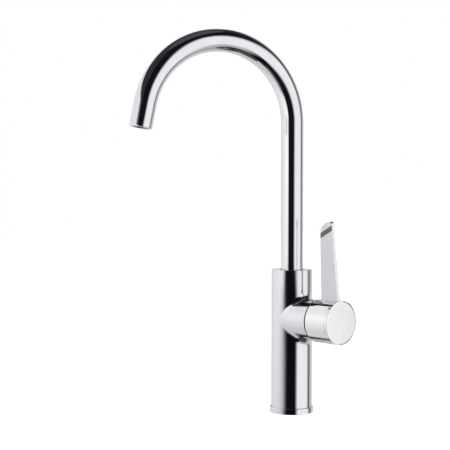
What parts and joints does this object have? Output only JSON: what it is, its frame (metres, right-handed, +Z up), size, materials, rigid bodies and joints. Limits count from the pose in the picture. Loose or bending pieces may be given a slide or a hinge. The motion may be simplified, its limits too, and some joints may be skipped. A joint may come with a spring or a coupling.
{
  "type": "three way filtered water tap",
  "caption": "Chrome kitchen tap with a slim round column, a tall swivelling gooseneck spout and a single side lever for hot, cold and filtered water.",
  "frame": {"origin": "centre of the base on the worktop plane", "axes": "+Z up the column, +X along the handle's boss, -Y straight ahead, towards the person at the sink"},
  "size_m": [0.1499, 0.2112, 0.4341],
  "materials": {
    "chrome": "polished bright chrome plate on brass",
    "brass": "machined, unplated",
    "steel": "stainless steel, plain",
    "rubber": "matt black EPDM",
    "dark_plastic": "moulded acetal, satin",
    "grey_plastic": "moulded, satin",
    "white_plastic": "moulded, satin",
    "ceramic": "lapped alumina ceramic",
    "taupe_inlay": "satin dark taupe lacquer"
  },
  "bodies": {
    "tap": {"tap_body": "chrome", "base_ring": "chrome", "base_gasket": "rubber", "spout_stop_screw": "steel", "filter_nipple": "brass", "nipple_seal": "rubber", "column_top_ring": "dark_plastic", "cartridge_housing": "grey_plastic", "cartridge_base": "grey_plastic", "port_seals": "rubber", "fixed_disc": "ceramic", "clamp_nut": "brass", "dome_cover": "dark_plastic"},
    "spout": {"spout_tube": "chrome", "spout_spigot": "brass", "spout_seals": "rubber", "spigot_glide_ring": "white_plastic", "filter_tube": "white_plastic", "aerator_housing": "chrome", "aerator_insert": "grey_plastic", "aerator_washer": "rubber", "filter_nozzle": "dark_plastic"},
    "carrier": {"disc_carrier": "white_plastic", "pivot_pin": "steel"},
    "slider": {"disc_driver": "white_plastic", "moving_disc": "ceramic"},
    "handle": {"spindle": "brass", "handle_hub": "chrome", "lever_blade": "chrome", "lever_inlay": "taupe_inlay", "lever_screws": "steel", "end_disc": "chrome", "handle_screw": "steel", "screw_plug": "dark_plastic"}
  },
  "joints": [
    {"name": "spout_swivel", "type": "hinge", "parent": "tap", "child": "spout", "pos_m": [0, 0, 0.1443], "axis": [0, 0, 1], "range_deg": [-55.65, 94.35]},
    {"name": "handle_turn", "type": "hinge", "parent": "tap", "child": "carrier", "pos_m": [0.029, 0, 0.1085], "axis": [1, 0, 0], "range_deg": [-90, 90]},
    {"name": "handle_lift", "type": "hinge", "parent": "carrier", "child": "handle", "pos_m": [0.029, 0, 0.1085], "axis": [0, 1, 0], "range_deg": [0, 20]},
    {"name": "disc_slide", "type": "slide", "parent": "carrier", "child": "slider", "axis": [0, 0, 1], "range_m": [0, 0.0028]}
  ],
  "couplings": [
    {"joint": "disc_slide", "follows": "handle_lift", "m_per_rad": 0.008}
  ]
}
